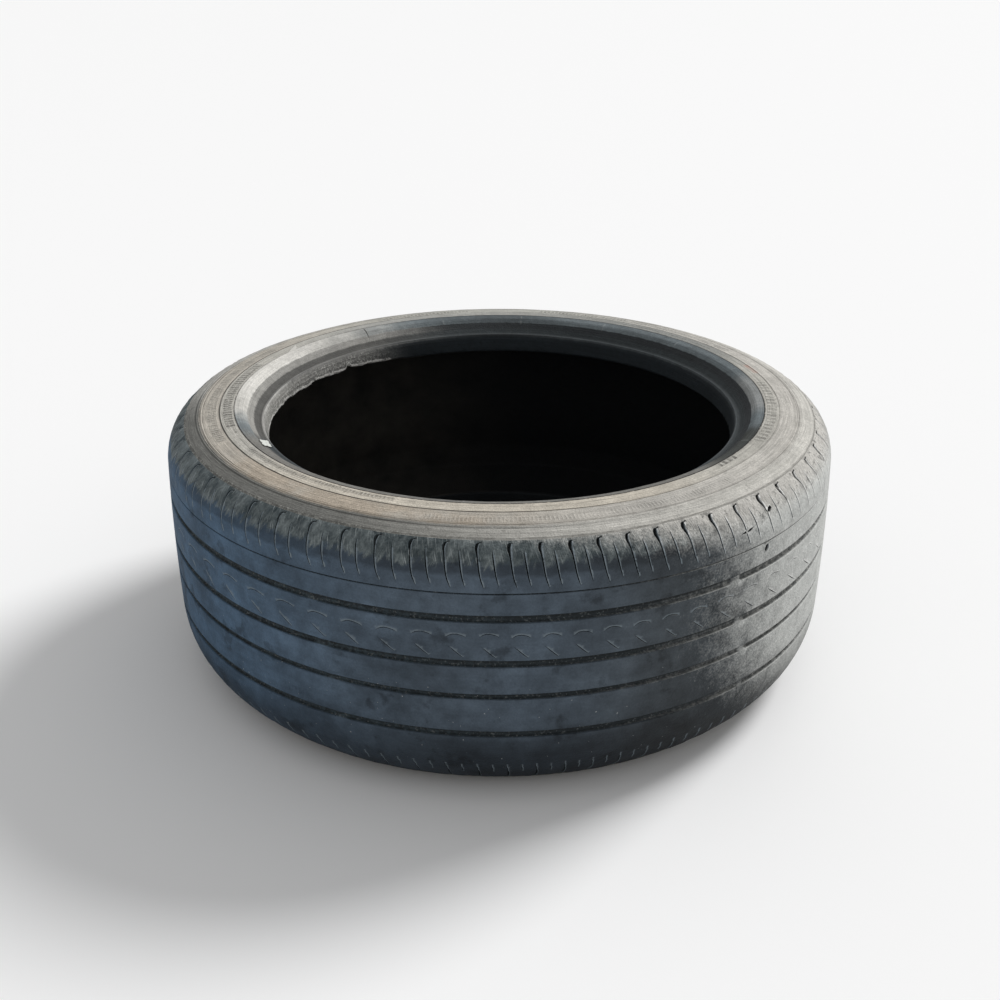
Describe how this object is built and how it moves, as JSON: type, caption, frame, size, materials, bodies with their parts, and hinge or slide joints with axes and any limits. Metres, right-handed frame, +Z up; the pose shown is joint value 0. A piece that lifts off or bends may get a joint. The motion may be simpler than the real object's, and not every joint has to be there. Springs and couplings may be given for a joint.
{
  "type": "old worn car tyre",
  "caption": "Old worn car tyre lying on its side: shallow tread grooves, slotted shoulders, open beads with a torn upper toe, and a scrap of label stuck to the bead.",
  "frame": {"origin": "on the tyre's axis, at the floor that its lower sidewall lies on", "axes": "+Z up along the tyre's axis, -Y towards the viewer, +X to the viewer's right"},
  "size_m": [0.6529, 0.6528, 0.25],
  "materials": {
    "tyre": "sun-bleached, dusty black rubber, slate grey on the tread and tan-grey with dirt on the sidewalls",
    "label_scrap": "dull white label film with dirty edges"
  },
  "bodies": {
    "root": {"tyre": "tyre", "label_scrap": "label_scrap"}
  },
  "joints": []
}
